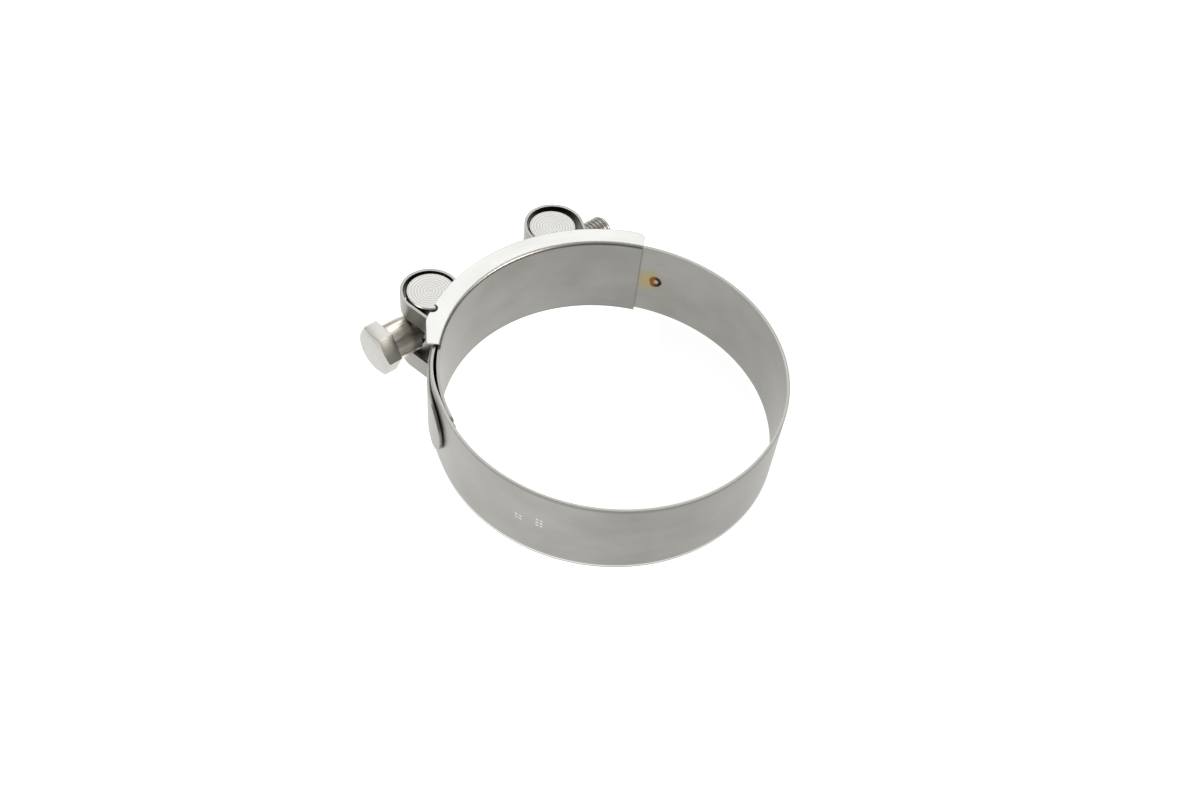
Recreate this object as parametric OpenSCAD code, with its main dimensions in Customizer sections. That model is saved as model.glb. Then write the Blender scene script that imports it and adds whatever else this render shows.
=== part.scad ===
// Single-bolt band clamp: one strip bent into a ring with a folded loop at each end, a cross barrel
// in each loop, an inner bridge across the gap, and a hex bolt with a spacer sleeve.
// The ring's axis is Z, the bolt lies along X on the +Y side, and the origin is the ring's centre.

/* [Band] */
// Radius of the ring's outer face
band_r = 48; // [47.5:0.1:48.5]
// Width of the strip along the ring's axis
band_w = 25; // [24.5:0.1:27]
// Thickness of the strip
band_t = 0.8; // [0.7:0.05:0.9]
// Height of the windows that the bolt and the spacer pass through
window_w = 12.5; // [11.5:0.1:14]
// How far the strip bulges off the bridge's tongue on the left side
bulge = 0.75; // [0.5:0.05:0.8]
// Gap between the strip's tail and the ring that it lies on
tail_gap = 0.1; // [0.08:0.01:0.2]
// Width of the round-ended tails
tail_w = 16; // [14:0.5:20]
// Bend radius at the foot of each tail, at mid thickness
foot_r = 3; // [2:0.1:3.5]
// Angle of the left tail's tip, from +X
tail_end_left = 162.5; // [160:0.5:166]
// Angle of the right tail's tip, from +X
tail_end_right = 21; // [18:1:24]
// Radius of the spot welds that hold the tails
weld_r = 1.5; // [1:0.1:2]

/* [Barrels] */
// Diameter of both cross barrels
barrel_d = 14; // [13.4:0.1:14]
// Length of both cross barrels
barrel_l = 24; // [22:0.5:24.5]
// Half the distance between the two barrel axes
barrel_x = 22.1; // [21.8:0.1:23]
// Gap between the ring's outer face and a barrel
barrel_lift = 1; // [0.9:0.05:1.2]
// Radius of the plain barrel's through hole
plain_bore_r = 4.5; // [4.4:0.1:5]
// Chamfer at the barrels' ends
barrel_chamfer = 0.3; // [0.2:0.1:0.6]

/* [Bolt] */
// Outer radius of the screw thread
bolt_r = 4; // [3.7:0.1:4]
// Length under the head
bolt_l = 81; // [76:1:90]
// Width across the flats of the hex head
hex_af = 13; // [12.5:0.1:14]
// Height of the hex head
hex_h = 5.3; // [4.5:0.1:6]
// Turn of the hex head about the bolt's axis, in degrees
hex_turn = 23; // [0:1:59]
// Radial clearance between the bolt and the threaded barrel
thread_gap = 0.05; // [0.03:0.01:0.08]
// Outer radius of the spacer sleeve
spacer_r = 5.5; // [5:0.1:5.6]
// Radial clearance between the bolt and the spacer sleeve
spacer_gap = 0.2; // [0.1:0.05:0.4]
// Length of the spacer sleeve
spacer_l = 8.2; // [6:0.1:10]

/* [Bridge] */
// Angle of the bridge's right end, from +X
bridge_a0 = 37.5; // [35:0.5:40]
// Angle of the left end of the flanges
flange_a1 = 135; // [133:1:138]
// Angle of the end of the plain tongue
tongue_a1 = 168; // [155:1:172]
// How far the flanges stand out past the ring's outer face
flange_out = 4.2; // [3.6:0.1:4.4]
// Radial gap between the bridge and the strip
bridge_gap = 0.1; // [0.08:0.01:0.15]
// Outer radius of the bend between the web and a flange
edge_r = 1; // [0.9:0.05:1.2]
// Radius of the notch in each flange beside the plain barrel
notch_r = 1.6; // [1:0.1:2]

/* [Hidden] */
$fn = 96;

r_mid = band_r - band_t / 2;
barrel_r = barrel_d / 2;
// Distance of both barrel axes from the ring's axis, and their height above it
barrel_dist = band_r + barrel_lift + barrel_r;
barrel_y = sqrt(barrel_dist ^ 2 - barrel_x ^ 2);
// Half angle of the slit between the two halves, at the flex line opposite the bolt
slit_a = 0.06;
// The widest step, in degrees, between points along an arc of the strip
arc_step = 3;
// Each loop: its gap round the barrel, its shift away from the other barrel, and how far its wrap
// goes on past the barrel's side, in degrees
loop_left = [0.6, 0.3, 8.5];
loop_right = [1, 0.6, 25];
// The left side's bulge runs between these two angles
bulge_a0 = 163;
bulge_a1 = 124;
// Radius of the bulge's flat stretches
bulge_flat_r = 100;

bridge_r = band_r - band_t - bridge_gap - band_t;
flange_r = band_r + flange_out;
flange_z = band_w / 2 + 0.1;
// Half height of the bridge's round inner wall, below the bends, and of the tongue
wall_z = flange_z + band_t - edge_r;
tongue_z = wall_z - 0.2;
// Play between the plain barrel and the end of the spacer
seat_gap = 0.03;
spacer_x = -barrel_x - barrel_r - seat_gap;
head_x = spacer_x - spacer_l;

function polar(r, a) = r * [cos(a), sin(a)];
// Length of an arc of radius r
function arc_length(r, a) = r * a * PI / 180;

// A path starts at a pose, [point, heading], and is walked by steps: [length] runs straight, and
// [radius, turn] bends, to the left where turn is positive.
function moved(pose, s) =
  len(s) == 1 ? [pose[0] + polar(s[0], pose[1]), pose[1]]
  : [
    pose[0] + sign(s[1]) * (polar(s[0], pose[1] + 90) - polar(s[0], pose[1] + s[1] + 90)),
    pose[1] + s[1]
  ];
function pieces(s) = len(s) == 1 ? 1 : ceil(abs(s[1]) / arc_step);
function part_of(s, f) = len(s) == 1 ? [s[0] * f] : [s[0], s[1] * f];
function walk(pose, steps, i = 0) =
  i == len(steps) ? [pose]
  : concat(
    [for (k = [0:pieces(steps[i]) - 1]) moved(pose, part_of(steps[i], k / pieces(steps[i])))],
    walk(moved(pose, steps[i]), steps, i + 1)
  );

function end_pose(pose, steps) =
  let (poses = walk(pose, steps))
  poses[len(poses) - 1];

// A wall of height h along a path, between its left and right offsets
module wall(pose, steps, to_left, to_right, h) {
  poses = walk(pose, steps);
  last = len(poses) - 1;
  left = [for (p = poses) p[0] + polar(to_left, p[1] + 90)];
  right = [for (p = poses) p[0] - polar(to_right, p[1] + 90)];
  linear_extrude(h, center = true)
    polygon(concat(left, [for (i = [last:-1:0]) right[i]]));
}

function loop_r(loop) = barrel_r + loop[0] + band_t / 2;
function loop_centre(loop) = [-barrel_x - loop[1], barrel_y];
function tail_r(swell) = band_r + swell + tail_gap + band_t / 2;

// The bulge is a tight arc between two flat ones, all tangent to each other and to the ring. past is
// how far the flat arcs' centres lie beyond the ring's, and peak how far the tight arc's lies off it.
function bulge_steps(swell) =
  let (
    half_a = (bulge_a0 - bulge_a1) / 2,
    past = bulge_flat_r - r_mid,
    m = past - swell,
    apart = (past ^ 2 + m ^ 2 - 2 * past * m * cos(half_a)) / (2 * (m - past * cos(half_a))),
    peak = apart - m,
    tight_turn = atan2(past * sin(half_a), peak + past * cos(half_a))
  )
  [
    [bulge_flat_r, tight_turn - half_a],
    [bulge_flat_r - apart, -2 * tight_turn],
    [bulge_flat_r, tight_turn - half_a]
  ];

// Steps of the left half, from the flex line clockwise round the ring to where the strip leaves it
function ring_steps(swell, start, leave) =
  swell == 0 ? [[r_mid, leave - start]]
  : concat([[r_mid, bulge_a0 - start]], bulge_steps(swell), [[r_mid, leave - bulge_a1]]);

// Across to the loop, round the barrel to angle w, down, and back along the ring at angle a
function foot_a(loop, swell) =
  let (
    c = loop_centre(loop),
    w = 180 + loop[2]
  )
  w - acos((polar(1, w) * c + loop_r(loop) + foot_r) / (tail_r(swell) + foot_r));
function loop_steps(loop, swell, leave) =
  let (
    c = loop_centre(loop),
    rl = loop_r(loop),
    cross = sqrt(norm(c) ^ 2 - (r_mid + rl) ^ 2),
    w = 180 + loop[2],
    a = foot_a(loop, swell),
    drop = polar(1, w + 90) * (polar(tail_r(swell) + foot_r, a) - c)
  )
  [[cross], [rl, w - leave + 180], [drop], [foot_r, a - w]];

// The tail follows the ring to its weld, and then bends in a little where the ring bulges
function tail_steps(loop, swell, weld_a, tail_end) =
  let (
    rt = tail_r(swell),
    tip_r = rt * (1 - swell / 5),
    tip_l = arc_length(rt, tail_end - weld_a) + 1
  )
  [[rt, weld_a - foot_a(loop, swell)], [tip_r, tip_l / tip_r * 180 / PI]];

module half(loop, swell, tail_end, weld_a) {
  c = loop_centre(loop);
  rl = loop_r(loop);
  start = 270 - slit_a;
  // Where the crossing tangent leaves the ring for the loop
  leave = atan2(c[1], c[0]) + acos((r_mid + rl) / norm(c));
  pose = [polar(r_mid, start), start - 90];
  lead = concat(ring_steps(swell, start, leave), loop_steps(loop, swell, leave));
  tail = tail_steps(loop, swell, weld_a, tail_end);
  difference() {
    wall(pose, concat(lead, tail), band_t / 2, band_t / 2, band_w);
    window(c, rl);
    tail_trim(end_pose(pose, lead), tail, tail_end);
  }
  spot_weld(swell, weld_a);
}

// The window runs all round the loop and stops above the ring, but between the barrels it reaches
// below the bolt
module window(c, rl) {
  below = 1.5;
  difference() {
    translate([c[0], c[1], -window_w / 2]) cylinder(r = rl + 4, h = window_w);
    translate([0, 0, -band_w]) cylinder(r = band_r + 2.5, h = 2 * band_w);
  }
  translate([c[0], c[1] - bolt_r - below, -window_w / 2]) cube([rl + 4, bolt_r, window_w]);
}

// Narrows the tail to a tongue with a round tip, and leaves the ring under it whole
module tail_trim(pose, steps, tip_a) {
  round_r = tail_w / 2;
  round_a = tip_a - round_r / band_r * 180 / PI;
  difference() {
    wall(pose, concat(steps, [[2]]), (band_t + tail_gap) / 2, band_t / 2 + 3, 2 * band_w);
    rotate(round_a) {
      rotate([0, 90, 0]) cylinder(r = round_r, h = 2 * band_r);
      translate([0, -2 * band_r, -round_r]) cube([2 * band_r, 2 * band_r, tail_w]);
    }
  }
}

module spot_weld(swell, a) {
  rotate(a) translate([r_mid, 0, 0]) rotate([0, 90, 0]) cylinder(r = weld_r, h = tail_r(swell) - r_mid);
}

module band_left() {
  color("silver") half(loop_left, bulge, tail_end_left, (bulge_a0 + bulge_a1) / 2);
}

module band_right() {
  weld_a = 180 - tail_end_right - 10;
  color("silver") mirror([1, 0, 0]) half(loop_right, 0, 180 - tail_end_right, weld_a);
}

// The bridge's section: a flat web with a bend and a flange at each edge
module bridge_profile() {
  translate([bridge_r, -wall_z]) square([band_t, 2 * wall_z]);
  for (side = [0, 1])
    mirror([0, side])
      difference() {
        union() {
          translate([bridge_r + edge_r, flange_z]) square([flange_r - bridge_r - edge_r, band_t]);
          intersection() {
            translate([bridge_r + edge_r, wall_z]) circle(r = edge_r);
            translate([bridge_r, wall_z]) square([edge_r, edge_r]);
          }
        }
        translate([bridge_r + edge_r, wall_z]) circle(r = edge_r - band_t);
      }
}

// Taken off the flanges: a slant at the left end, a notch, the right end's corner, and all of the
// tongue's stretch
module flange_trim() {
  trim_h = 2 * (flange_z + band_t + 1);
  slant_a = 126;
  notch_a = 120.6;
  corner = 1.7;
  translate([0, 0, -trim_h / 2]) {
    translate(polar(flange_r, slant_a)) rotate(slant_a + 109) translate([0, -10, 0]) cube([20, 10, trim_h]);
    rotate(notch_a) translate([flange_r, 0, 0]) cylinder(r = notch_r, h = trim_h);
    rotate(bridge_a0) translate([flange_r - corner, 0, 0]) rotate(-15) cube([10, 10, trim_h]);
  }
  for (side = [0, 1])
    mirror([0, 0, side])
      translate([0, 0, tongue_z])
        linear_extrude(trim_h)
          polygon([[0, 0], polar(2 * band_r, flange_a1), [-2 * band_r, 0]]);
}

module bridge() {
  color("gainsboro")
    difference() {
      rotate(bridge_a0) rotate_extrude(angle = tongue_a1 - bridge_a0) bridge_profile();
      flange_trim();
    }
}

// A cross barrel, its bore along X at mid length
module barrel(bore_r) {
  flat_r = barrel_r - barrel_chamfer;
  end_z = barrel_l / 2;
  difference() {
    rotate_extrude()
      polygon([
        [0, -end_z],
        [flat_r, -end_z],
        [barrel_r, -end_z + barrel_chamfer],
        [barrel_r, end_z - barrel_chamfer],
        [flat_r, end_z],
        [0, end_z]
      ]);
    rotate([0, 90, 0]) cylinder(r = bore_r, h = 2 * barrel_d, center = true);
  }
}

module threaded_barrel() {
  color("whitesmoke") translate([barrel_x, barrel_y, 0]) barrel(bolt_r + thread_gap);
}

module plain_barrel() {
  color("whitesmoke") translate([-barrel_x, barrel_y, 0]) barrel(plain_bore_r);
}

// Puts a piece drawn up +Z onto the bolt's axis, starting at x
module on_bolt_axis(x) {
  translate([x, barrel_y, 0]) rotate([0, 90, 0]) children();
}

// Hex head with a washer face below and a chamfered crown above, under it the shank
module bolt() {
  washer_h = 0.3;
  crown_h = 1.1;
  tip = 0.8;
  color("lightgray")
    on_bolt_axis(head_x) {
      intersection() {
        rotate(hex_turn) translate([0, 0, -hex_h]) cylinder(d = hex_af / cos(30), h = hex_h - washer_h, $fn = 6);
        rotate_extrude()
          polygon([
            [0, -hex_h],
            [hex_af * 0.42, -hex_h],
            [hex_af * 0.6, crown_h - hex_h],
            [hex_af * 0.6, 0],
            [0, 0]
          ]);
      }
      rotate_extrude()
        polygon([
          [0, -hex_h / 2],
          [hex_af * 0.45, -hex_h / 2],
          [hex_af * 0.45, 0],
          [bolt_r, 0],
          [bolt_r, bolt_l - tip],
          [bolt_r - tip, bolt_l],
          [0, bolt_l]
        ]);
    }
}

module spacer() {
  chamfer = 0.3;
  bore_r = bolt_r + spacer_gap;
  color("darkgray")
    on_bolt_axis(head_x)
      rotate_extrude()
        polygon([
          [bore_r, 0],
          [spacer_r - chamfer, 0],
          [spacer_r, chamfer],
          [spacer_r, spacer_l - chamfer],
          [spacer_r - chamfer, spacer_l],
          [bore_r, spacer_l]
        ]);
}

band_right();
band_left();
bridge();
threaded_barrel();
plain_barrel();
bolt();
spacer();
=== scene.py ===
import math

import bmesh
import bpy
from mathutils import Matrix, Vector


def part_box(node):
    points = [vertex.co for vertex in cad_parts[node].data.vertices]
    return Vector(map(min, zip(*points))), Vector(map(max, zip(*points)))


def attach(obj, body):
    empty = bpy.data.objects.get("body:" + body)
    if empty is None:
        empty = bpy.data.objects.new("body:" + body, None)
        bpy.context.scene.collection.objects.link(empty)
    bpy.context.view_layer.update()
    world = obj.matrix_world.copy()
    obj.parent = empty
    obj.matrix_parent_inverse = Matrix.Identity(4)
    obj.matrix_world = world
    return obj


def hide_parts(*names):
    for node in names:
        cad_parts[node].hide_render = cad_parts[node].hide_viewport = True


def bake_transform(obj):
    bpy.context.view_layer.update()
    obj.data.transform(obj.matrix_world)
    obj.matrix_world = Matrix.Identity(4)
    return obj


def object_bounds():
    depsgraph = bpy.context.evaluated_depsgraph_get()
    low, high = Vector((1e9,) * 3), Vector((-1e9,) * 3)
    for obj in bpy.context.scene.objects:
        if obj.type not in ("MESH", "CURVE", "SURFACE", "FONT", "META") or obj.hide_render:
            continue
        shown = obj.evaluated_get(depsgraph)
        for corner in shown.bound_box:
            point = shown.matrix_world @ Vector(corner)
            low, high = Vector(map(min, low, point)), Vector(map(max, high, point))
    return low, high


# Lengths are in millimetres, in the frame of the CAD, until a mesh is made.
MM = 0.001

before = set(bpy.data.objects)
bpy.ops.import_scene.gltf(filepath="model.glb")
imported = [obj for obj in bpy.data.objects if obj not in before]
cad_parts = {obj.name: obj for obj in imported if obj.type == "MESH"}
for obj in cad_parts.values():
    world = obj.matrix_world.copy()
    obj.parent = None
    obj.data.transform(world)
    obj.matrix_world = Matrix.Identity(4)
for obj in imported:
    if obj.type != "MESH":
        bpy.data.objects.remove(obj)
cad_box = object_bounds()


def node_box(name):
    """Lowest and highest corners of a CAD node, in millimetres."""
    low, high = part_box(name)
    return low / MM, high / MM


# Driving sizes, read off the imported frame
ring_low, ring_high = node_box("band_right")
RING_R = -ring_low.y
BAND_W = ring_high.z - ring_low.z
barrel_low, barrel_high = node_box("threaded_barrel")
BARREL_X = (barrel_low.x + barrel_high.x) / 2
BOLT_Y = (barrel_low.y + barrel_high.y) / 2
BARREL_R = (barrel_high.x - barrel_low.x) / 2
bolt_low, bolt_high = node_box("bolt")
HEAD_FACE_X = bolt_low.x
BOLT_TIP_X = bolt_high.x
spacer_low, spacer_high = node_box("spacer")
HEAD_X = spacer_low.x
SPACER_R = (spacer_high.z - spacer_low.z) / 2
SPACER_END_X = spacer_high.x

# The strip
STRIP_T = 0.8
R_MID = RING_R - STRIP_T / 2
BULGE = 0.75
BULGE_A0 = 163
BULGE_A1 = 124
BULGE_FLAT_R = 100
TAIL_GAP = 0.1
TAIL_W = 16
FOOT_R = 3
TAIL_TIP_LEFT = 162.5
TAIL_TIP_RIGHT = 21
WELD_LEFT = 143.5
WELD_RIGHT = TAIL_TIP_RIGHT + 10
WINDOW_W = 12.5
# Each loop: its gap round the barrel, its shift outwards, and how far its wrap goes past the side
LOOP_LEFT = (0.6, 0.3, 8.5)
LOOP_RIGHT = (1, 0.6, 25)

# The bridge
BRIDGE_GAP = 0.1
BRIDGE_R = RING_R - STRIP_T - BRIDGE_GAP - STRIP_T
BRIDGE_A0 = 37.5
FLANGE_A1 = 135
TONGUE_A1 = 168
FLANGE_R = RING_R + 4.2
NOTCH_A = 120.6
NOTCH_R = 1.6
SLANT_A = 126
WALL_Z = 12.4
TONGUE_Z = 12.2
BEND_R = 0.6

# The bolt
BOLT_R = 4
HEX_AF = 13
HEX_TURN = 23
PITCH = 1.25


def polar(r, a):
    a = math.radians(a)
    return Vector((r * math.cos(a), r * math.sin(a)))


def arc_length(r, a):
    return r * math.radians(a)


def turn_of(length, r):
    return math.degrees(length / r)


# ---------------------------------------------------------------- the strip's path


def moved(pose, step, part=1.0):
    """The pose after a part of a step: (length,) runs straight, (radius, turn) bends."""
    point, heading = pose
    if len(step) == 1:
        return point + polar(step[0] * part, heading), heading
    r, turn = step[0], step[1] * part
    side = math.copysign(1, turn)
    shift = polar(r, heading + 90) - polar(r, heading + turn + 90)
    return point + side * shift, heading + turn


def step_length(step):
    return step[0] if len(step) == 1 else arc_length(step[0], abs(step[1]))


class Path:
    """Half of the strip, walked from the flex line opposite the bolt to the tip of its tail."""

    def __init__(self, pose, steps):
        self.parts = []
        s = 0
        for step in steps:
            length = step_length(step)
            self.parts.append((s, length, pose, step))
            pose = moved(pose, step)
            s += length
        self.length = s

    def at(self, s):
        for start, length, pose, step in self.parts:
            if s <= start + length or (start, length, pose, step) == self.parts[-1]:
                return moved(pose, step, (s - start) / length)

    def stops(self, spacing=0.8, turn=5):
        """Lengths at which the path is cut: every step's ends, and closer where it bends."""
        out = []
        for start, length, pose, step in self.parts:
            n = math.ceil(length / spacing)
            if len(step) == 2:
                n = max(n, math.ceil(abs(step[1]) / turn))
            out += [start + length * k / n for k in range(n)]
        return out + [self.length]

    def first(self, test, low, high, by=0.02):
        s = low
        while s < high and not test(self.at(s)[0]):
            s += by
        return s


def bulge_steps(swell):
    """A tight arc between two flat ones, all tangent to each other and to the ring."""
    half_a = (BULGE_A0 - BULGE_A1) / 2
    past = BULGE_FLAT_R - R_MID
    m = past - swell
    cos_a, sin_a = polar(1, half_a)
    apart = (past**2 + m**2 - 2 * past * m * cos_a) / (2 * (m - past * cos_a))
    tight = math.degrees(math.atan2(past * sin_a, apart - m + past * cos_a))
    flat = (BULGE_FLAT_R, tight - half_a)
    return [flat, (BULGE_FLAT_R - apart, -2 * tight), flat]


def half_path(loop, swell, tip_a, weld_a):
    """The left half's path, and the lengths at which its window and its tail begin."""
    gap, shift, wrap = loop
    c = Vector((-BARREL_X - shift, BOLT_Y))
    rl = BARREL_R + gap + STRIP_T / 2
    rt = RING_R + swell + TAIL_GAP + STRIP_T / 2
    leave = math.degrees(math.atan2(c.y, c.x) + math.acos((R_MID + rl) / c.length))
    cross = math.sqrt(c.length**2 - (R_MID + rl) ** 2)
    w = 180 + wrap
    foot = w - math.degrees(math.acos((polar(1, w) @ c + rl + FOOT_R) / (rt + FOOT_R)))
    drop = polar(1, w + 90) @ (polar(rt + FOOT_R, foot) - c)
    ring = [(R_MID, leave - 270)]
    if swell:
        ring = [(R_MID, BULGE_A0 - 270)] + bulge_steps(swell) + [(R_MID, leave - BULGE_A1)]
    loop_steps = [(cross,), (rl, w - leave + 180), (drop,), (FOOT_R, foot - w)]
    tip_r = rt * (1 - swell / 5)
    tail = [(rt, weld_a - foot), (tip_r, turn_of(arc_length(rt, tip_a - weld_a), tip_r))]
    path = Path((polar(R_MID, 270), 180), ring + loop_steps + tail)
    path.loop_s = sum(step_length(s) for s in ring)
    path.tail_s = path.loop_s + sum(step_length(s) for s in loop_steps)
    below_bolt = BOLT_Y - BOLT_R - 1.5
    path.window_s0 = path.first(lambda p: p.y > below_bolt, path.loop_s, path.tail_s)
    over_top = path.window_s0 + 12
    path.window_s1 = path.first(lambda p: p.length < RING_R + 2.5, over_top, path.tail_s)
    return path


LEFT = half_path(LOOP_LEFT, BULGE, TAIL_TIP_LEFT, WELD_LEFT)
RIGHT = half_path(LOOP_RIGHT, 0, 180 - TAIL_TIP_RIGHT, 180 - WELD_RIGHT)


def strip_frame(t):
    """Point of the path, and the outward normal. t runs from the right tail's tip, which is
    negative, over 0 at the flex line to the left tail's tip."""
    half = LEFT if t >= 0 else RIGHT
    point, heading = half.at(abs(t))
    out = polar(1, heading + 90)
    if t < 0:
        return Vector((-point.x, point.y)), Vector((-out.x, out.y))
    return point, out


# ---------------------------------------------------------------- mesh tools


def finish_mesh(bm, name, material):
    bmesh.ops.recalc_face_normals(bm, faces=bm.faces)
    mesh = bpy.data.meshes.new(name)
    bm.to_mesh(mesh)
    bm.free()
    for p in mesh.polygons:
        p.use_smooth = True
    mesh.materials.append(material)
    obj = bpy.data.objects.new(name, mesh)
    bpy.context.scene.collection.objects.link(obj)
    return obj


def sheet_solid(name, near, far, cells, uv, material, edge=0.14):
    """A solid from cells of a grid. near and far give each grid key's point on the two faces.
    Its free edges are closed by walls and rounded. uv gives each key's place on the flat sheet:
    the far face is drawn 100 above the near one, and the walls between them."""
    bm = bmesh.new()
    layer = bm.loops.layers.uv.new("flat")
    keys = sorted({k for cell in cells for k in cell})
    verts = [{k: bm.verts.new(side[k] * MM) for k in keys} for side in (near, far)]

    def face(corners, v_shift):
        f = bm.faces.new([verts[side][k] for side, k in corners])
        for loop, (_, k) in zip(f.loops, corners):
            loop[layer].uv = (uv[k][0], uv[k][1] + v_shift)
        return f

    border = {}
    for cell in cells:
        face([(0, k) for k in cell], 0)
        face([(1, k) for k in reversed(cell)], 100)
        for a, b in zip(cell, cell[1:] + cell[:1]):
            if border.pop((b, a), None) is None:
                border[(a, b)] = True
    rims = []
    for a, b in border:
        f = face([(0, b), (0, a), (1, a), (1, b)], 50)
        rims += [e for e in f.edges if sum(v in e.verts for v in (verts[0][a], verts[0][b])) == 2]
        rims += [e for e in f.edges if sum(v in e.verts for v in (verts[1][a], verts[1][b])) == 2]
    bmesh.ops.remove_doubles(bm, verts=bm.verts, dist=0.002 * MM)
    rims = [e for e in rims if e.is_valid and len(e.link_faces) == 2]
    bmesh.ops.bevel(
        bm, geom=rims, offset=edge * MM, segments=2, profile=0.5, affect="EDGES", clamp_overlap=True
    )
    return finish_mesh(bm, name, material)


def lathe(name, profile, material, place):
    """Turns a closed profile of (radius, height) points about Z, and puts it in place."""
    segments = 96
    bm = bmesh.new()
    rings = []
    for r, z in profile:
        ring = []
        for k in range(segments):
            p = polar(r, 360 * k / segments)
            ring.append(bm.verts.new((p.x * MM, p.y * MM, z * MM)))
        rings.append(ring)
    for low, high in zip(rings, rings[1:] + rings[:1]):
        for k in range(segments):
            n = (k + 1) % segments
            bm.faces.new((low[k], low[n], high[n], high[k]))
    bm.transform(place)
    return finish_mesh(bm, name, material)


def rounded(points, r, steps=4):
    """A profile with its inner corners rounded by about r."""
    out = [points[0]]
    for a, b, c in zip(points, points[1:], points[2:]):
        a, b, c = Vector(a), Vector(b), Vector(c)
        cut = min(r, (b - a).length * 0.45, (c - b).length * 0.45)
        p0 = b + (a - b).normalized() * cut
        p1 = b + (c - b).normalized() * cut
        for k in range(steps + 1):
            f = k / steps
            q = p0 * (1 - f) ** 2 + b * 2 * f * (1 - f) + p1 * f**2
            out.append((q.x, q.y))
    return out + [points[-1]]


def along_bolt(x):
    """Lays a piece that was made along Z onto the bolt's axis, with its foot at x."""
    return Matrix.Translation((x * MM, BOLT_Y * MM, 0)) @ Matrix.Rotation(math.pi / 2, 4, "Y")


# ---------------------------------------------------------------- materials


class Nodes:
    """A node tree being built."""

    def __init__(self, tree):
        self.tree = tree

    def new(self, kind, inputs=None, **settings):
        node = self.tree.nodes.new("ShaderNode" + kind)
        for key, value in settings.items():
            setattr(node, key, value)
        for key, value in (inputs or {}).items():
            if isinstance(value, bpy.types.NodeSocket):
                self.tree.links.new(value, node.inputs[key])
            else:
                node.inputs[key].default_value = value
        return node

    def math(self, operation, a, b=0.0):
        return self.new("Math", {0: a, 1: b}, operation=operation).outputs[0]

    def ramp(self, factor, stops, interpolation="LINEAR"):
        """A colour ramp of (position, grey level or colour) stops."""
        node = self.new("ValToRGB", {"Fac": factor})
        ramp = node.color_ramp
        ramp.interpolation = interpolation
        while len(ramp.elements) < len(stops):
            ramp.elements.new(0.5)
        for element, (position, colour) in zip(ramp.elements, stops):
            element.position = position
            if not isinstance(colour, tuple):
                colour = (colour, colour, colour)
            element.color = (*colour, 1)
        return node.outputs["Color"]

    def noise(self, vector, scale, stretch=(1, 1, 1), detail=3.0):
        mapped = self.new("Mapping", {"Vector": vector, "Scale": stretch}).outputs[0]
        inputs = {"Vector": mapped, "Scale": scale, "Detail": detail}
        return self.new("TexNoise", inputs).outputs["Fac"]

    def mix(self, factor, a, b, blend_type="MIX"):
        """Blends two colours. Inputs 0, 6 and 7 are the node's factor and its two colours."""
        plain = {
            key: colour if isinstance(colour, bpy.types.NodeSocket) else (*colour, 1)
            for key, colour in ((6, a), (7, b))
        }
        settings = {"data_type": "RGBA", "blend_type": blend_type}
        return self.new("Mix", {0: factor, **plain}, **settings).outputs[2]


def new_material(name):
    material = bpy.data.materials.new(name)
    material.use_nodes = True
    material.node_tree.nodes.clear()
    return material, Nodes(material.node_tree)


def finish_metal(nodes, colour, roughness, height, bump_mm):
    """Ends a metal's tree: its colour and roughness, and a bump of the given height."""
    bump = nodes.new("Bump", {"Height": height, "Strength": 1.0, "Distance": bump_mm * MM})
    inputs = {
        "Base Color": colour,
        "Metallic": 1.0,
        "Roughness": roughness,
        "Normal": bump.outputs[0],
    }
    shader = nodes.new("BsdfPrincipled", inputs)
    nodes.new("OutputMaterial", {"Surface": shader.outputs[0]})


def rolled_steel(name, tint):
    """Cold-rolled stainless strip: faint lines along the strip, cloudy patches, fine speckle.
    Returns the material, its nodes, the flat coordinates in millimetres, and the colour, roughness
    and height, so that marks can be added."""
    material, nodes = new_material(name)
    place = nodes.new("TexCoord").outputs["UV"]
    lines = nodes.noise(place, 2.2, stretch=(0.03, 1, 1), detail=4.0)
    cloud = nodes.noise(place, 0.09, stretch=(0.6, 1, 1))
    speckle = nodes.noise(place, 3.5, detail=2.0)
    dark = tuple(c * 0.88 for c in tint)
    light = tuple(c * 1.08 for c in tint)
    colour = nodes.ramp(cloud, [(0.3, dark), (0.7, light)])
    lined = nodes.ramp(lines, [(0.25, 0.93), (0.75, 1.0)])
    colour = nodes.mix(1.0, colour, lined, "MULTIPLY")
    half_cloud, half_lines = (nodes.math("MULTIPLY", part, 0.5) for part in (cloud, lines))
    roughness = nodes.ramp(nodes.math("ADD", half_cloud, half_lines), [(0.3, 0.3), (0.7, 0.42)])
    height = nodes.math("ADD", lines, nodes.math("MULTIPLY", speckle, 0.5))
    return material, nodes, place, colour, roughness, height


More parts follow.
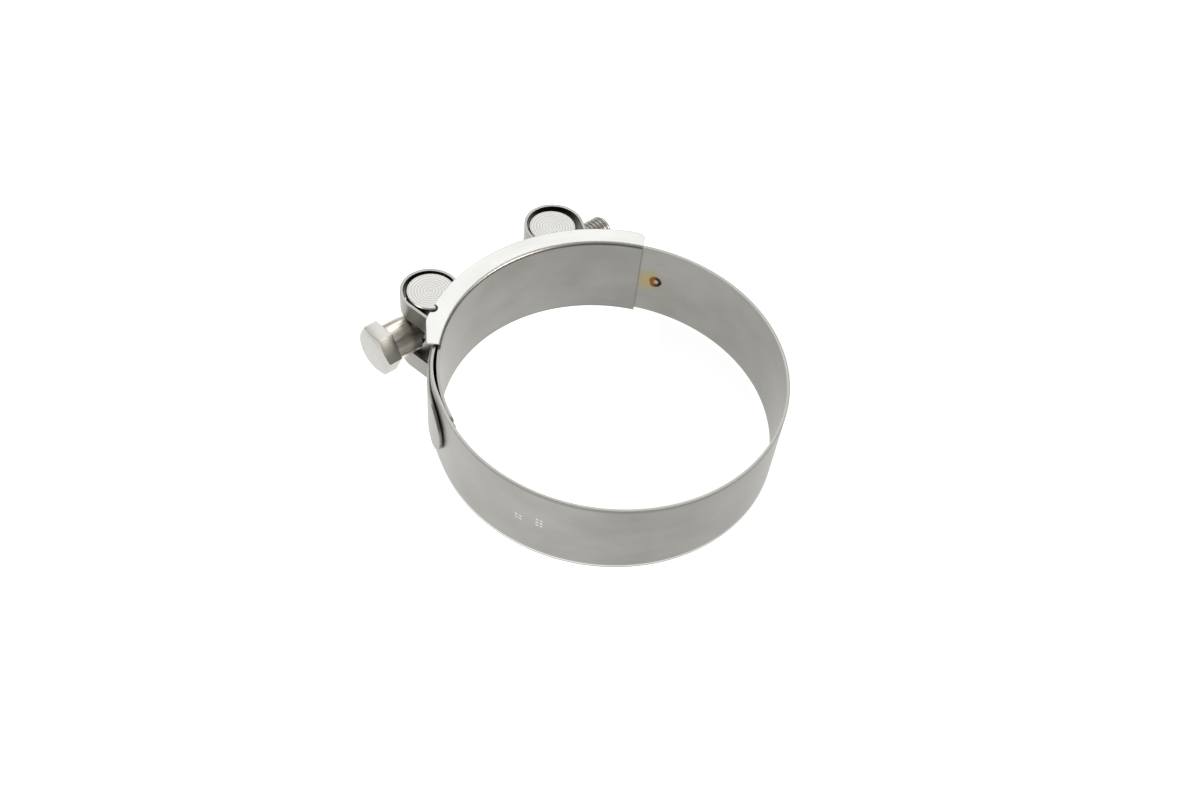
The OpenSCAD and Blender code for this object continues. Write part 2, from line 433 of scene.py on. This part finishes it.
def band_material():
    """The strip's steel: a painted shade line and a painted highlight line along the outer face's edges,
    painted shade inside the loops, and the heat tint of the weld.
    """
    tint = (0.328, 0.323, 0.3)
    material, nodes, place, colour, roughness, height = rolled_steel("band_steel", tint)
    axes = nodes.new("SeparateXYZ", {0: place})
    along, across = axes.outputs[0], axes.outputs[1]
    # Only the far face, drawn from 87.5 to 112.5, has a painted shade line by its top edge,
    # and a painted highlight line by its bottom one, standing in for light on the rounded edges
    top_edge_shade = nodes.ramp(nodes.math("SUBTRACT", across, 111.4), [(0.15, 0.0), (0.4, 0.5), (1.0, 0.6)])
    colour = nodes.mix(top_edge_shade, colour, (0.17, 0.17, 0.155))
    low_line = nodes.math("ABSOLUTE", nodes.math("SUBTRACT", across, 88.1))
    bottom_edge_highlight = nodes.ramp(low_line, [(0.1, 0.8), (0.35, 0.0)])
    colour = nodes.mix(bottom_edge_highlight, colour, (0.85, 0.85, 0.82))
    # Painted shade: inside each loop, the face round the barrel is painted near black for the dark gap
    # there
    loops = []
    for start, end in ((LEFT.window_s0, LEFT.tail_s), (-RIGHT.tail_s, -RIGHT.window_s0)):
        centre, reach = (start + end) / 2, (end - start) / 2
        away = nodes.math("ABSOLUTE", nodes.math("SUBTRACT", along, centre))
        loops.append(nodes.math("LESS_THAN", away, reach))
    loop_shade_span = nodes.math("MAXIMUM", loops[0], loops[1])
    inside = nodes.math("MULTIPLY", loop_shade_span, nodes.math("GREATER_THAN", across, 87))
    # The painted shade goes on the far face, within the loops
    colour = nodes.mix(nodes.math("MULTIPLY", inside, 0.93), colour, (0.02, 0.02, 0.018))
    spot = nodes.new("VectorMath", {0: place, 1: (-WELD_S, 0, 0)}, operation="SUBTRACT").outputs[0]
    wobble = nodes.noise(place, 0.9, detail=2.0)
    distance = nodes.new("VectorMath", {0: spot}, operation="LENGTH").outputs["Value"]
    ragged = nodes.math("ADD", distance, nodes.math("MULTIPLY", wobble, 2.2))
    x = nodes.new("SeparateXYZ", {0: spot}).outputs[0]
    # The tint reaches further towards the bridge's end, where the heat stayed
    reach = nodes.math("ADD", ragged, nodes.math("MULTIPLY", x, 0.5))
    halo = nodes.ramp(nodes.math("DIVIDE", reach, 8.0), [(0.3, 1.0), (0.72, 0.0)], "EASE")
    olive = (0.36, 0.30, 0.13)
    colour = nodes.mix(nodes.math("MULTIPLY", halo, 0.8), colour, olive)
    finish_metal(nodes, colour, roughness, height, 0.004)
    return material


def bridge_material():
    tint = (0.288, 0.283, 0.264)
    material, nodes, place, colour, roughness, height = rolled_steel("bridge_steel", tint)
    # Painted light: the flanges, which face the light, are painted brighter than the web; the bend
    # between them gets a painted shade line
    axes = nodes.new("SeparateXYZ", {0: nodes.new("TexCoord").outputs["Object"]})
    level = nodes.math("MULTIPLY", nodes.math("ABSOLUTE", axes.outputs[2]), 1 / MM)
    above = nodes.math("SUBTRACT", level, WALL_Z)
    flange_painted_light = nodes.ramp(above, [(0.55, 0.0), (0.85, 1.0)])
    colour = nodes.mix(flange_painted_light, colour, (0.49, 0.49, 0.472))
    from_bend = nodes.math("ABSOLUTE", nodes.math("SUBTRACT", above, 0.28))
    # Painted shade line along the bend
    bend_painted_shade = nodes.ramp(from_bend, [(0.12, 0.6), (0.34, 0.0)])
    colour = nodes.mix(bend_painted_shade, colour, (0.11, 0.11, 0.1))
    finish_metal(nodes, colour, roughness, height, 0.004)
    return material


def turned_steel(name, tint, centre):
    """Turned bar end: fine rings about the barrel's own axis, lighter and darker in turn."""
    material, nodes = new_material(name)
    place = nodes.new("TexCoord").outputs["Object"]
    centre = (centre[0] * MM, centre[1] * MM, 0)
    spot = nodes.new("VectorMath", {0: place, 1: centre}, operation="SUBTRACT").outputs[0]
    flat = nodes.new("VectorMath", {0: spot, 1: (1, 1, 0)}, operation="MULTIPLY").outputs[0]
    radius = nodes.new("VectorMath", {0: flat}, operation="LENGTH").outputs["Value"]
    radius_mm = nodes.math("MULTIPLY", radius, 1 / MM)
    waver = nodes.noise(place, 0.25 / MM, detail=2.0)
    wave = nodes.math("ADD", nodes.math("MULTIPLY", radius_mm, 7.5), nodes.math("MULTIPLY", waver, 2))
    rings = nodes.math("MULTIPLY", nodes.math("ADD", nodes.math("SINE", wave), 1.0), 0.5)
    cloud = nodes.noise(place, 0.22 / MM, detail=3.0)
    dark = tuple(c * 0.9 for c in tint)
    colour = nodes.mix(nodes.ramp(rings, [(0.2, 0.0), (0.8, 1.0)]), dark, tint)
    clouded = nodes.ramp(cloud, [(0.3, 0.93), (0.7, 1.0)])
    colour = nodes.mix(1.0, colour, clouded, "MULTIPLY")
    roughness = nodes.ramp(rings, [(0.0, 0.4), (1.0, 0.25)])
    finish_metal(nodes, colour, roughness, rings, 0.008)
    return material


def bolt_material():
    """Smooth satin bolt steel, with soft cloudy wear."""
    material, nodes = new_material("bolt_steel")
    place = nodes.new("TexCoord").outputs["Object"]
    cloud = nodes.noise(place, 0.2 / MM, detail=3.0)
    fine = nodes.noise(place, 4 / MM, detail=2.0)
    colour = nodes.ramp(cloud, [(0.3, (0.44, 0.43, 0.4)), (0.7, (0.52, 0.51, 0.475))])
    roughness = nodes.ramp(cloud, [(0.3, 0.3), (0.7, 0.42)])
    finish_metal(nodes, colour, roughness, fine, 0.005)
    return material


def spacer_material():
    """Drawn tube: streaks along its length, brownish where it is stained."""
    material, nodes = new_material("spacer_steel")
    place = nodes.new("TexCoord").outputs["Object"]
    streaks = nodes.noise(place, 0.7 / MM, stretch=(0.12, 1, 1), detail=4.0)
    stain = nodes.noise(place, 0.16 / MM, detail=3.0)
    colour = nodes.ramp(streaks, [(0.3, (0.5, 0.47, 0.4)), (0.62, (0.98, 0.95, 0.88))])
    brown = (0.45, 0.39, 0.29)
    amount = nodes.ramp(stain, [(0.45, 0.0), (0.7, 0.5)])
    colour = nodes.mix(amount, colour, brown)
    roughness = nodes.ramp(streaks, [(0.25, 0.36), (0.75, 0.26)])
    finish_metal(nodes, colour, roughness, streaks, 0.006)
    return material


def weld_material():
    """The nugget: pale middle, rust brown on the hot side, and a blue-black ring."""
    material, nodes = new_material("weld_scale")
    place = nodes.new("TexCoord").outputs["UV"]
    distance = nodes.new("VectorMath", {0: place}, operation="LENGTH").outputs["Value"]
    wobble = nodes.noise(place, 1.3, detail=3.0)
    x = nodes.new("SeparateXYZ", {0: place}).outputs[0]
    reach = nodes.math("ADD", distance, nodes.math("MULTIPLY", nodes.math("SUBTRACT", wobble, 0.5), 0.9))
    blue_black = (0.012, 0.014, 0.035)
    brown = (0.26, 0.10, 0.02)
    pale = (0.5, 0.44, 0.4)
    scorched = (0.2, 0.12, 0.07)
    straw = (0.3, 0.27, 0.2)
    stops = [(0.2, pale), (0.36, scorched), (0.55, blue_black), (0.75, blue_black), (0.9, straw)]
    colour = nodes.ramp(nodes.math("DIVIDE", reach, NUGGET_R), stops)
    hot_side = nodes.math("SUBTRACT", 0.45, nodes.math("MULTIPLY", x, 0.45))
    rusty = nodes.ramp(hot_side, [(0.35, 0.0), (0.85, 0.95)])
    colour = nodes.mix(rusty, colour, brown)
    finish_metal(nodes, colour, nodes.ramp(wobble, [(0.3, 0.35), (0.7, 0.6)]), wobble, 0.02)
    return material


def stamp_material():
    """Painted highlight: the punched ticks are painted much brighter than the strip round them."""
    material, nodes = new_material("stamp_painted_highlight")
    place = nodes.new("TexCoord").outputs["Object"]
    fine = nodes.noise(place, 2 / MM, detail=2.0)
    colour = nodes.ramp(fine, [(0.3, (0.75, 0.75, 0.72)), (0.7, (0.92, 0.92, 0.88))])
    finish_metal(nodes, colour, nodes.ramp(fine, [(0.3, 0.25), (0.7, 0.35)]), fine, 0.004)
    return material


def floor_material():
    """A white sweep that glows a little, so that shadows on it stay faint."""
    material, nodes = new_material("white_floor")
    place = nodes.new("TexCoord").outputs["Object"]
    grain = nodes.noise(place, 30.0, detail=2.0)
    colour = nodes.ramp(grain, [(0.3, 0.18), (0.7, 0.2)])
    # The strip's front mirrors the floor before it, which is brighter at the bolt head's side
    left, right = 1.18, 0.9
    axes = nodes.new("SeparateXYZ", {0: place})
    sideways = nodes.math("SUBTRACT", axes.outputs[0], axes.outputs[1])
    along = nodes.math("ADD", nodes.math("DIVIDE", sideways, 0.226), 0.5)
    fall = nodes.ramp(along, [(0.36, 0.0), (0.6, left - right)])
    inputs = {
        "Base Color": colour,
        "Roughness": 0.9,
        "Emission Color": (1, 1, 1, 1),
        "Emission Strength": nodes.math("SUBTRACT", left, fall),
    }
    shader = nodes.new("BsdfPrincipled", inputs)
    nodes.new("OutputMaterial", {"Surface": shader.outputs[0]})
    return material


# ---------------------------------------------------------------- the band

# Radius of the weld's mark, and where it sits along the strip, from the flex line
NUGGET_R = 2.2
WELD_S = arc_length(R_MID, 90 + WELD_RIGHT)
WINDOW_CORNER = 1.6


def eased(f):
    f = min(1, max(0, f))
    return f * f * (3 - 2 * f)


def half_width(half, s):
    """Half the strip's width: full round the ring and the loop, and a round-ended tongue after."""
    full = BAND_W / 2
    tongue = TAIL_W / 2
    to_tip = half.length - s
    if to_tip < tongue:
        return math.sqrt(max(0, tongue**2 - (tongue - to_tip) ** 2))
    return full + (tongue - full) * eased((s - half.tail_s) / 2.5)


def window_half(half, s):
    """Half the window's height, with round corners; outside the window, where its line would go on."""
    corner = WINDOW_CORNER
    full = WINDOW_W / 2
    inside = min(s - half.window_s0, half.window_s1 - s)
    if inside < 0:
        return (full - corner) * half_width(half, s) / (BAND_W / 2)
    if inside < corner:
        return full - corner + math.sqrt(corner**2 - (corner - inside) ** 2)
    return full


def half_stops(half):
    """Lengths of the grid's columns: closer at the window's corners, the shoulder and the tip."""
    tongue = TAIL_W / 2
    fine = []
    for end, way in ((half.window_s0, 1), (half.window_s1, -1)):
        corner = [WINDOW_CORNER * (1 - math.cos(math.radians(a))) for a in range(0, 91, 15)]
        fine += [end - 0.3 * way] + [end + way * c for c in corner]
    fine += [half.tail_s + 0.25 * k for k in range(11)]
    fine += [half.length - tongue * (1 - math.cos(math.radians(a))) for a in range(0, 91, 6)]
    coarse = [s for s in half.stops() if all(abs(s - f) > 0.2 for f in fine)]
    near_tip = half.length - tongue
    return sorted(fine + [s for s in coarse if s < near_tip])


def band():
    """The whole strip in one piece, from tail to tail, in place of the two CAD halves."""
    columns = [-s for s in reversed(half_stops(RIGHT)) if s > 0] + half_stops(LEFT)
    near, far, uv, cells = {}, {}, {}, []
    middle = 8
    for i, t in enumerate(columns):
        half = LEFT if t >= 0 else RIGHT
        outer = half_width(half, abs(t))
        inner = window_half(half, abs(t))
        leg = outer - inner
        edge = min(0.35, leg / 5)
        steps = [0, edge, leg / 3, 2 * leg / 3, leg - edge, leg]
        upper = [inner + d for d in steps]
        core = [inner * (2 * k / middle - 1) for k in range(1, middle)]
        rows = [-z for z in reversed(upper)] + core + upper
        point, out = strip_frame(t)
        for j, z in enumerate(rows):
            for side, offset in ((near, -STRIP_T / 2), (far, STRIP_T / 2)):
                p = point + out * offset
                side[i, j] = Vector((p.x, p.y, z))
            uv[i, j] = (t, z)
    first_core = 5
    last_core = first_core + middle - 1
    for i in range(len(columns) - 1):
        s = abs((columns[i] + columns[i + 1]) / 2)
        half = LEFT if columns[i] >= 0 else RIGHT
        open_here = half.window_s0 < s < half.window_s1
        for j in range(len(rows) - 1):
            if open_here and first_core <= j <= last_core:
                continue
            cells.append([(i, j), (i + 1, j), (i + 1, j + 1), (i, j + 1)])
    return sheet_solid("band", near, far, cells, uv, band_material())


# ---------------------------------------------------------------- the bridge


def flange_reach(a):
    """Radius of the flange's outer edge at an angle: right corner, notch, and slanted left end."""
    reach = FLANGE_R
    from_end = arc_length(FLANGE_R, a - BRIDGE_A0)
    corner = 4
    if from_end < corner:
        reach -= 1.8 * (1 - math.sqrt(1 - (1 - from_end / corner) ** 2))
    off = abs(a - NOTCH_A)
    sideways = FLANGE_R * math.sin(math.radians(off))
    if sideways < NOTCH_R:
        reach = FLANGE_R * math.cos(math.radians(off)) - math.sqrt(NOTCH_R**2 - sideways**2)
    if a > SLANT_A:
        corner_point, way = polar(FLANGE_R, SLANT_A), polar(1, 235)
        reach = corner_point.cross(way) / polar(1, a).cross(way)
    return reach


def bridge_angles():
    notch_turn = math.degrees(math.asin(NOTCH_R / FLANGE_R))
    notch = [NOTCH_A + notch_turn * math.sin(math.radians(k)) for k in range(-90, 91, 15)]
    ends = [BRIDGE_A0 + d for d in (0, 0.15, 0.4, 0.8, 1.3, 2, 2.8, 3.6, 4.4)]
    ends += [SLANT_A, SLANT_A + 0.3, FLANGE_A1 - 0.3, FLANGE_A1, FLANGE_A1 + 0.3]
    ends += [TONGUE_A1 - turn_of(3 * (1 - math.cos(math.radians(k))), BRIDGE_R) for k in range(0, 91, 15)]
    coarse = [BRIDGE_A0 + k for k in range(1, int(TONGUE_A1 - BRIDGE_A0))]
    fine = notch + ends
    return sorted(fine + [a for a in coarse if all(abs(a - f) > 0.3 for f in fine)])


def bridge_section(a):
    """The section at an angle: (radius, height, normal towards the concave side) from foot to top."""
    web_r = BRIDGE_R + STRIP_T / 2
    reach = flange_reach(min(a, FLANGE_A1))
    low_r = web_r + BEND_R
    end = arc_length(BRIDGE_R, TONGUE_A1 - a)
    tip = 3
    short = tip - math.sqrt(tip**2 - (tip - end) ** 2) if end < tip else 0
    web_z = TONGUE_Z - short
    upper = [(web_r, web_z * f, (1, 0)) for f in (0, 0.3, 0.6, 0.88, 0.98, 1)]
    upper.append((web_r, WALL_Z, (1, 0)))
    for k in range(1, 6):
        c = polar(1, 180 - 18 * k)
        upper.append((low_r + BEND_R * c.x, WALL_Z + BEND_R * c.y, (-c.x, -c.y)))
    span = reach - low_r
    for f in (min(0.3, span / 5) / span, 0.35, 0.7, 1 - min(0.3, span / 5) / span, 1):
        upper.append((low_r + span * f, WALL_Z + BEND_R, (0, -1)))
    lower = [(r, -z, (n[0], -n[1])) for r, z, n in reversed(upper[1:])]
    return lower + upper


def bridge():
    angles = bridge_angles()
    near, far, uv, cells = {}, {}, {}, []
    count = len(bridge_section(angles[0]))
    for i, a in enumerate(angles):
        run = 0
        last = None
        for j, (r, z, n) in enumerate(bridge_section(a)):
            if last:
                run += math.hypot(r - last[0], z - last[1])
            last = (r, z)
            for side, offset in ((near, -STRIP_T / 2), (far, STRIP_T / 2)):
                p = polar(r + n[0] * offset, a)
                side[i, j] = Vector((p.x, p.y, z + n[1] * offset))
            uv[i, j] = (arc_length(R_MID, a), run)
    centre = count // 2
    tongue_rows = 5
    for i in range(len(angles) - 1):
        tongue = angles[i] >= FLANGE_A1 - 1e-6
        for j in range(count - 1):
            beyond = j < centre - tongue_rows or j >= centre + tongue_rows
            if tongue and beyond:
                continue
            cells.append([(i, j), (i, j + 1), (i + 1, j + 1), (i + 1, j)])
    return sheet_solid("bridge_plate", near, far, cells, uv, bridge_material(), edge=0.12)


# ---------------------------------------------------------------- the bolt


def hex_radius(a):
    """Distance from the axis to the hexagon's outline at an angle."""
    return HEX_AF / 2 / math.cos(math.radians((a % 60) - 30))


def bolt_head(bm):
    """Chamfered hex head on its washer face, made along +Z from the bearing face down."""
    height = HEAD_X - HEAD_FACE_X
    washer_h = 0.3
    flat_r = HEX_AF * 0.42
    slope = 1.1 / (HEX_AF * 0.18)
    angles = [k * 7.5 for k in range(48)]
    rings = []
    for r_of, z_of in (
        (lambda a: flat_r - 0.5, lambda r: -height),
        (lambda a: flat_r, lambda r: -height + 0.02),
        (lambda a: flat_r + 0.35, lambda r: -height + 0.02 + 0.35 * slope),
        (lambda a: hex_radius(a) - 0.2, lambda r: -height + (r - flat_r) * slope),
        (lambda a: hex_radius(a) - 0.06, lambda r: -height + (r - flat_r) * slope + 0.02),
        (hex_radius, lambda r: -height + (r - flat_r) * slope + 0.16),
        (hex_radius, lambda r: -washer_h - 0.15),
        (lambda a: hex_radius(a) - 0.12, lambda r: -washer_h),
        (lambda a: HEX_AF * 0.45, lambda r: -washer_h),
        (lambda a: HEX_AF * 0.45, lambda r: -0.05),
        (lambda a: HEX_AF * 0.45 - 0.05, lambda r: 0),
        (lambda a: 3.0, lambda r: 0),
    ):
        ring = []
        for a in angles:
            p = polar(r_of(a), a + HEX_TURN)
            ring.append(bm.verts.new((p.x, p.y, z_of(r_of(a)))))
        rings.append(ring)
    crown = bm.verts.new((0, 0, -height))
    for k in range(len(angles)):
        n = (k + 1) % len(angles)
        bm.faces.new((crown, rings[0][n], rings[0][k]))
        for low, high in zip(rings, rings[1:]):
            bm.faces.new((low[k], low[n], high[n], high[k]))
    bm.faces.new(rings[-1])


def bolt_thread(bm):
    """The screw thread as one helical strip, cut off square at both ends."""
    length = BOLT_TIP_X - HEAD_X
    start, tip = 1.0, 0.8
    root = BOLT_R - 0.72
    # One pitch of the profile: root, rising flank, crest, falling flank
    profile = [(0, root), (0.14, root), (0.2, root + 0.05), (0.46, BOLT_R - 0.04), (0.5, BOLT_R)]
    profile += [(0.62, BOLT_R), (0.66, BOLT_R - 0.04), (0.92, root + 0.05)]
    around = 40
    turns = math.ceil((length - start) / PITCH) + 3
    verts = {}
    for turn in range(turns):
        for m, (f, r) in enumerate(profile):
            for k in range(around):
                z = start + PITCH * (turn - 2 + f + k / around)
                limit = BOLT_R - tip * min(1, max(0, (z - length + tip) / tip))
                p = polar(min(r, limit), 360 * k / around)
                verts[turn * len(profile) + m, k] = bm.verts.new((p.x, p.y, z))
    rows = turns * len(profile)
    for row in range(rows):
        for k in range(around):
            if k < around - 1:
                corners = [(row, k), (row, k + 1), (row + 1, k + 1), (row + 1, k)]
            else:
                # The last column joins the first one, a whole turn further on
                shift = len(profile)
                corners = [(row, k), (row + shift, 0), (row + 1 + shift, 0), (row + 1, k)]
            if all(c in verts for c in corners):
                bm.faces.new([verts[c] for c in corners])
    for z, way in ((start, -1), (length, 1)):
        cut = bmesh.ops.bisect_plane(
            bm,
            geom=bm.verts[:] + bm.edges[:] + bm.faces[:],
            plane_co=(0, 0, z),
            plane_no=(0, 0, way),
            clear_outer=True,
        )
        rim = [e for e in cut["geom_cut"] if isinstance(e, bmesh.types.BMEdge)]
        bmesh.ops.edgeloop_fill(bm, edges=rim)


def bolt():
    """One mesh of the head, a plain neck hidden in the spacer, and the thread."""
    whole = bmesh.new()
    for make in (bolt_thread, bolt_head):
        part = bmesh.new()
        make(part)
        mesh = bpy.data.meshes.new("part")
        part.to_mesh(mesh)
        part.free()
        whole.from_mesh(mesh)
        bpy.data.meshes.remove(mesh)
    neck = bmesh.ops.create_cone(
        whole, cap_ends=True, segments=40, radius1=3.2, radius2=3.2, depth=2.0
    )
    bmesh.ops.translate(whole, verts=neck["verts"], vec=(0, 0, 0.5))
    bmesh.ops.scale(whole, verts=whole.verts, vec=(MM, MM, MM))
    whole.transform(along_bolt(HEAD_X))
    obj = finish_mesh(whole, "bolt_m8", bolt_material())
    sharpen(obj, 28)
    return obj


def sharpen(obj, degrees):
    """Shades flat across edges that turn by more than an angle."""
    obj.data.set_sharp_from_angle(angle=math.radians(degrees))


# ---------------------------------------------------------------- small pieces


def spacer():
    """The sleeve between the head and the plain barrel: a tube with rounded rims."""
    bore_r = BOLT_R + 0.2
    length = SPACER_END_X - HEAD_X
    outline = [
        (bore_r, length / 2),
        (bore_r, 0),
        (SPACER_R, 0),
        (SPACER_R, length),
        (bore_r, length),
        (bore_r, length / 2),
    ]
    profile = rounded(outline, 0.35, 3)[:-1]
    return lathe("spacer_sleeve", profile, spacer_material(), along_bolt(HEAD_X))


def on_band(t, z, inside):
    """A matrix that lays a piece made on the XY plane flat on the strip, its +Z off the surface."""
    point, out = strip_frame(t)
    side = -1 if inside else 1
    normal = Vector((out.x, out.y, 0)) * side
    base = point + out * (side * STRIP_T / 2)
    up = Vector((0, 0, 1))
    across = up.cross(normal)
    turn = Matrix((across, up, normal)).transposed().to_4x4()
    return Matrix.Translation(Vector((base.x, base.y, z)) * MM) @ turn


def weld_nugget():
    """The spot weld's face inside the ring: a dished centre in a raised, uneven bead."""
    shape = [(0, 0.03), (0.25, 0.03), (0.45, 0.05), (0.6, 0.1), (0.72, 0.12), (0.86, 0.07), (1, -0.03)]
    rings = [(NUGGET_R * f, z) for f, z in shape]
    sides = 40
    bm = bmesh.new()
    layer = bm.loops.layers.uv.new("flat")
    centre = bm.verts.new((0, 0, rings[0][1]))
    grid = []
    for r, z in rings[1:]:
        ring = []
        for k in range(sides):
            a = 360 * k / sides
            wave = 1 + 0.07 * math.sin(math.radians(3 * a + 40)) + 0.04 * math.sin(math.radians(5 * a))
            p = polar(r * wave, a)
            lift = z * (1 + 0.4 * math.sin(math.radians(2 * a)))
            ring.append(bm.verts.new((p.x, p.y, lift)))
        grid.append(ring)
    foot = [bm.verts.new((v.co.x, v.co.y, -0.2)) for v in grid[-1]]
    grid.append(foot)
    for k in range(sides):
        n = (k + 1) % sides
        bm.faces.new((centre, grid[0][k], grid[0][n]))
        for low, high in zip(grid, grid[1:]):
            bm.faces.new((low[k], high[k], high[n], low[n]))
    bm.faces.new(foot)
    for f in bm.faces:
        for loop in f.loops:
            loop[layer].uv = loop.vert.co.xy
    bmesh.ops.scale(bm, verts=bm.verts, vec=(MM, MM, MM))
    bm.transform(on_band(-WELD_S, 0, True))
    return finish_mesh(bm, "weld_spot", weld_material())


def stamp_marks():
    """Two plain groups of punched ticks on the front of the strip."""
    bm = bmesh.new()
    for angle, z, rows in ((199.6, 0.0, 2), (206.6, 1.0, 3)):
        t = arc_length(R_MID, 270 - angle)
        for row in range(rows):
            for column in range(2):
                tick(bm, t + 1.15 * (column - 0.5), z + 1.15 * (row - (rows - 1) / 2))
    return finish_mesh(bm, "stamp_marks", stamp_material())


def tick(bm, t, z):
    """One short slanted stroke with a rounded back, just proud of the strip."""
    length, width, lift = 0.95, 0.36, 0.07
    made = bmesh.ops.create_uvsphere(bm, u_segments=12, v_segments=8, radius=1)["verts"]
    bmesh.ops.scale(bm, verts=made, vec=(length / 2 * MM, width / 2 * MM, lift * MM))
    bmesh.ops.rotate(bm, verts=made, matrix=Matrix.Rotation(math.radians(-25), 3, "Z"))
    bmesh.ops.transform(bm, verts=made, matrix=on_band(t, z, False))


def stage_floor():
    """The floor, just below the part."""
    low, _ = cad_box
    bm = bmesh.new()
    bmesh.ops.create_grid(bm, x_segments=1, y_segments=1, size=6.0)
    bmesh.ops.translate(bm, verts=bm.verts, vec=(0, 0, low[2] - 0.0002))
    floor = finish_mesh(bm, "floor", floor_material())


# ---------------------------------------------------------------- light and camera


def area_light(name, location, target, size, power, colour=(1, 1, 1)):
    data = bpy.data.lights.new(name, "AREA")
    data.shape = "RECTANGLE"
    data.size, data.size_y = size
    data.energy = power
    data.color = colour
    light = bpy.data.objects.new(name, data)
    light.location = location
    way = Vector(target) - Vector(location)
    light.rotation_euler = way.to_track_quat("-Z", "Y").to_euler()
    bpy.context.scene.collection.objects.link(light)


# Brightness of the room by height: straight down at 0, eye level at 0.5, straight up at 1
SKY = [(0.0, 0.85), (0.47, 0.34), (0.56, 0.3), (0.7, 0.4), (1.0, 0.5)]


def studio():
    """Soft white room: dim at eye level, bright above, and a large panel over and behind."""
    world = bpy.data.worlds.new("studio")
    world.use_nodes = True
    world.node_tree.nodes.clear()
    nodes = Nodes(world.node_tree)
    way = nodes.new("TexCoord").outputs["Generated"]
    height = nodes.new("SeparateXYZ", {0: way}).outputs[2]
    glow = nodes.ramp(nodes.math("ADD", nodes.math("MULTIPLY", height, 0.5), 0.5), SKY)
    background = nodes.new("Background", {"Color": glow, "Strength": 1.0})
    nodes.new("OutputWorld", {"Surface": background.outputs[0]})
    bpy.context.scene.world = world
    area_light("back_panel", (0.5, 0.55, 0.85), (0, 0, 0), (1.1, 0.8), 5.0)
    area_light("side_panel", (-0.8, 0.1, 0.5), (0, 0, 0), (0.4, 0.4), 1.7)
    # High enough to reach the bolt head over the ring
    area_light("warm_panel", (0.42, -0.76, 0.5), (0, 0, 0), (0.5, 0.35), 6.0, (1, 0.94, 0.83))


def camera():
    """Looks down on the ring's front left, a little rolled, as a hand-held lens would."""
    data = bpy.data.cameras.new("camera")
    data.sensor_width = 36
    data.lens = 39.09
    data.clip_start = 0.01
    eye = Vector((-172.9, -156.1, 274.0)) * MM
    aim = Vector((-3.2, 0, 0)) * MM
    obj = bpy.data.objects.new("camera", data)
    look = (aim - eye).to_track_quat("-Z", "Y").to_matrix()
    roll = Matrix.Rotation(math.radians(7.76), 3, "Z")
    obj.rotation_euler = (look @ roll).to_euler()
    obj.location = eye
    bpy.context.scene.collection.objects.link(obj)
    bpy.context.scene.camera = obj


# ---------------------------------------------------------------- putting it together

camera()
studio()
stage_floor()
bpy.context.scene.view_settings.view_transform = "Standard"

band_piece = band()
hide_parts("band_right", "band_left")
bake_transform(band_piece)

bridge_piece = bridge()
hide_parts("bridge")
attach(bridge_piece, "bridge")

bolt_piece = bolt()
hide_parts("bolt")
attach(bolt_piece, "bolt")

spacer_piece = spacer()
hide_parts("spacer")
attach(spacer_piece, "spacer")

weld_piece = weld_nugget()
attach(weld_piece, "right_side")

stamp_piece = stamp_marks()
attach(stamp_piece, "left_side")

for node_name, side in (("threaded_barrel", 1), ("plain_barrel", -1)):
    steel = turned_steel(node_name + "_steel", (0.42, 0.415, 0.395), (side * BARREL_X, BOLT_Y))
    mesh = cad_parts[node_name].data
    mesh.materials.clear()
    mesh.materials.append(steel)
